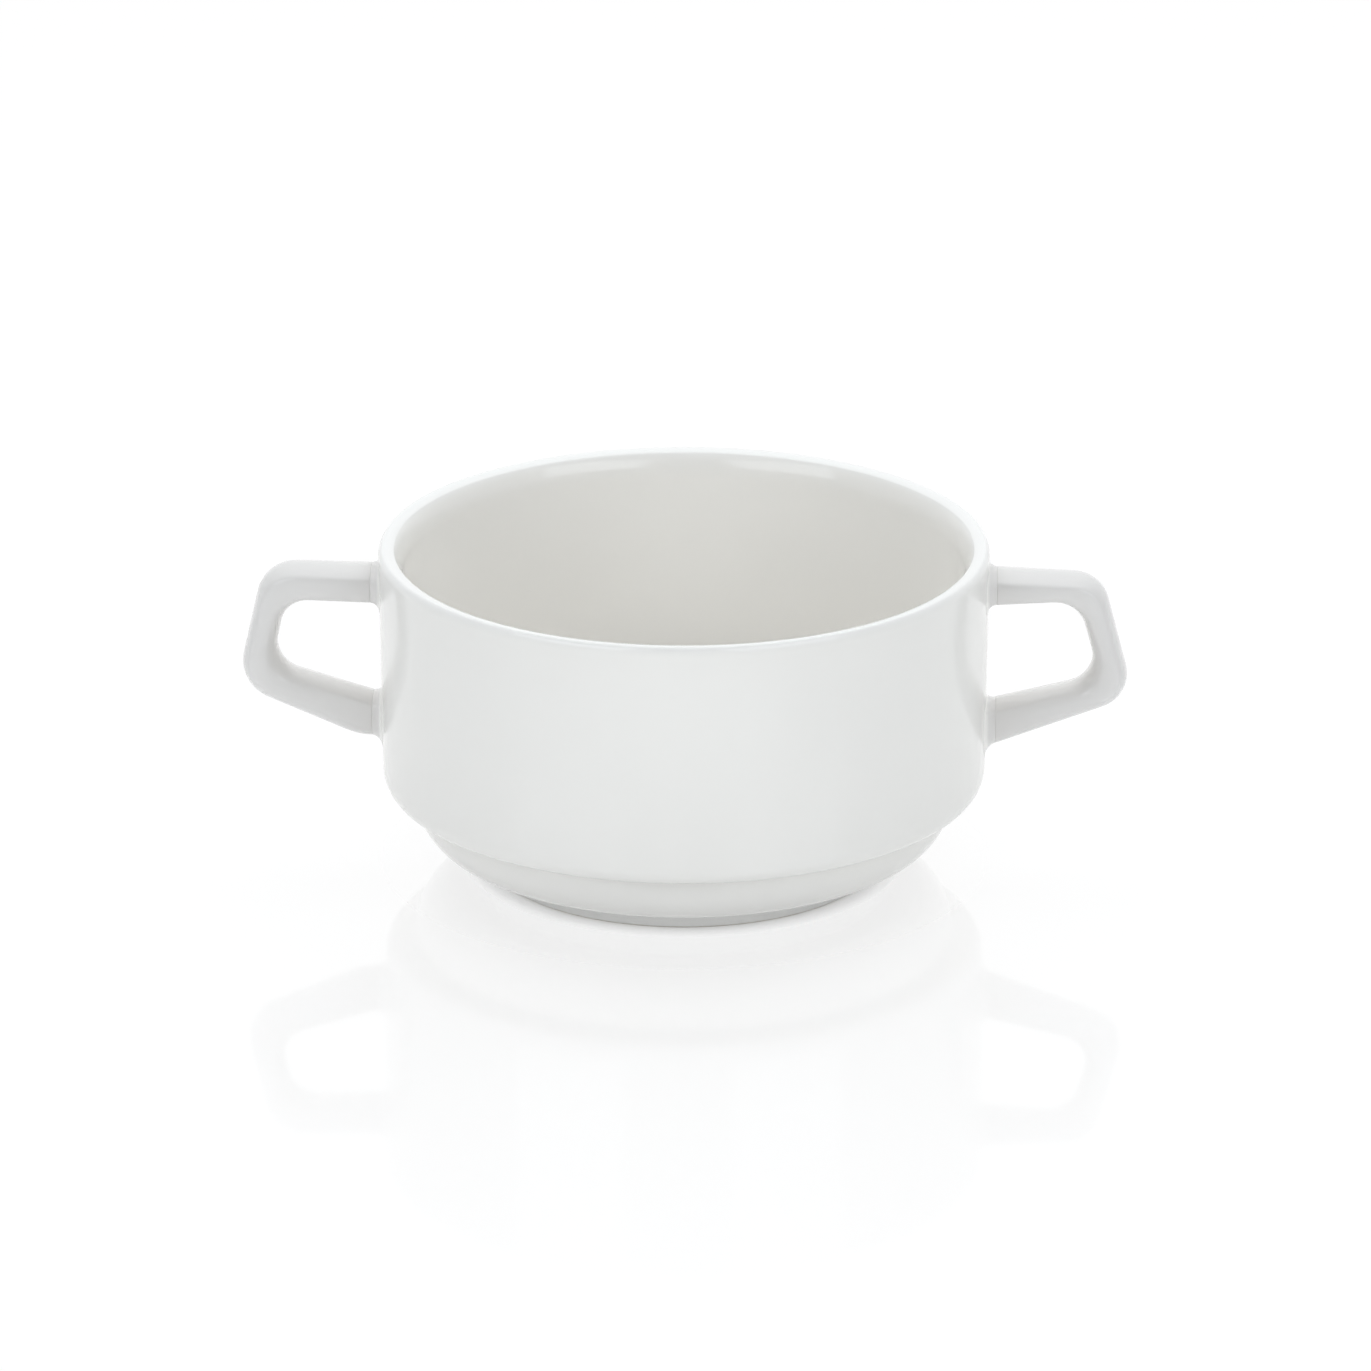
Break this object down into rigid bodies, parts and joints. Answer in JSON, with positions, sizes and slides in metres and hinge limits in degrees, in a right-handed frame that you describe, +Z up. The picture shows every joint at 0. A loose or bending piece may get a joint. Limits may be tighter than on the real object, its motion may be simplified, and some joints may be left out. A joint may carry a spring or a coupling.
{
  "type": "two-handled soup bowl",
  "caption": "White glazed porcelain soup bowl with a straight wall, a stacking step, a foot ring and angular loop handles on opposite sides.",
  "frame": {"origin": "middle of the foot ring's resting plane", "axes": "+Z up along the bowl's axis, handles along +X and -X"},
  "size_m": [0.16, 0.11, 0.06],
  "materials": {
    "white_glaze": "glossy clear glaze over white porcelain, bare on the foot ring's resting face"
  },
  "bodies": {
    "root": {"bowl_shell": "white_glaze", "right_handle": "white_glaze", "right_upper_slip_joint": "white_glaze", "right_lower_slip_joint": "white_glaze", "left_handle": "white_glaze", "left_upper_slip_joint": "white_glaze", "left_lower_slip_joint": "white_glaze"}
  },
  "joints": []
}
